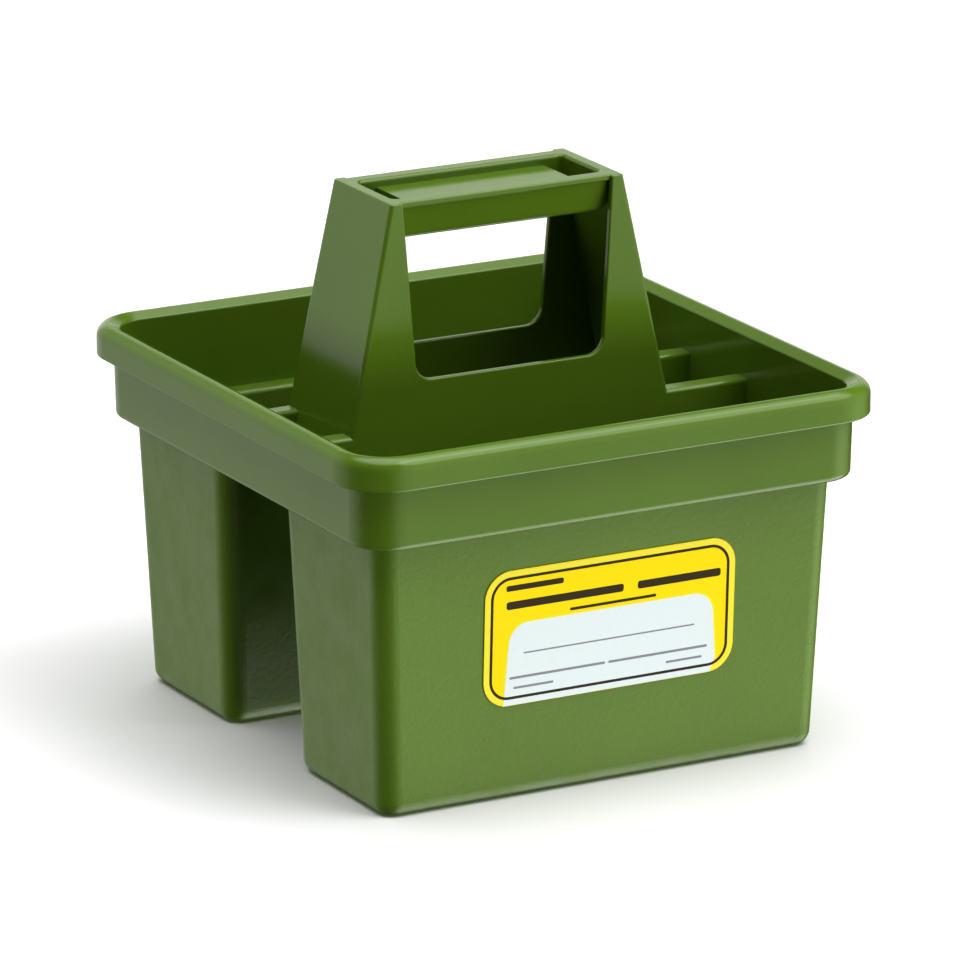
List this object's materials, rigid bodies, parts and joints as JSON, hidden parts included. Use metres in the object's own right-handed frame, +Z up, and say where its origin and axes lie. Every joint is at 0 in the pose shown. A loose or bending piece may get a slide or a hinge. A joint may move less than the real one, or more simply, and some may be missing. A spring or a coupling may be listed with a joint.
{
  "type": "cleaning caddy",
  "caption": "Small moulded plastic caddy with a front bin and a rear bin hanging from a turned-over rim, a hollow carry handle with a hand window, and a write-on label on the front.",
  "frame": {"origin": "on the floor under the middle of the caddy", "axes": "+Z up, +X along the front face and the handle towards the right as seen from the front, +Y from the labelled front to the back"},
  "size_m": [0.125, 0.13, 0.118],
  "materials": {
    "moulding": "satin moulded polypropylene, finely textured on the lower walls",
    "label": "printed self-adhesive sheet, yellow with a pale write-on panel"
  },
  "bodies": {
    "root": {"rim_lip": "moulding", "skirt_band": "moulding", "front_bin": "moulding", "rear_bin": "moulding", "saddle_left": "moulding", "saddle_right": "moulding", "handle_front": "moulding", "handle_back": "moulding", "handle_left_end": "moulding", "handle_right_end": "moulding", "grip_tray": "moulding", "front_label": "label"}
  },
  "joints": []
}
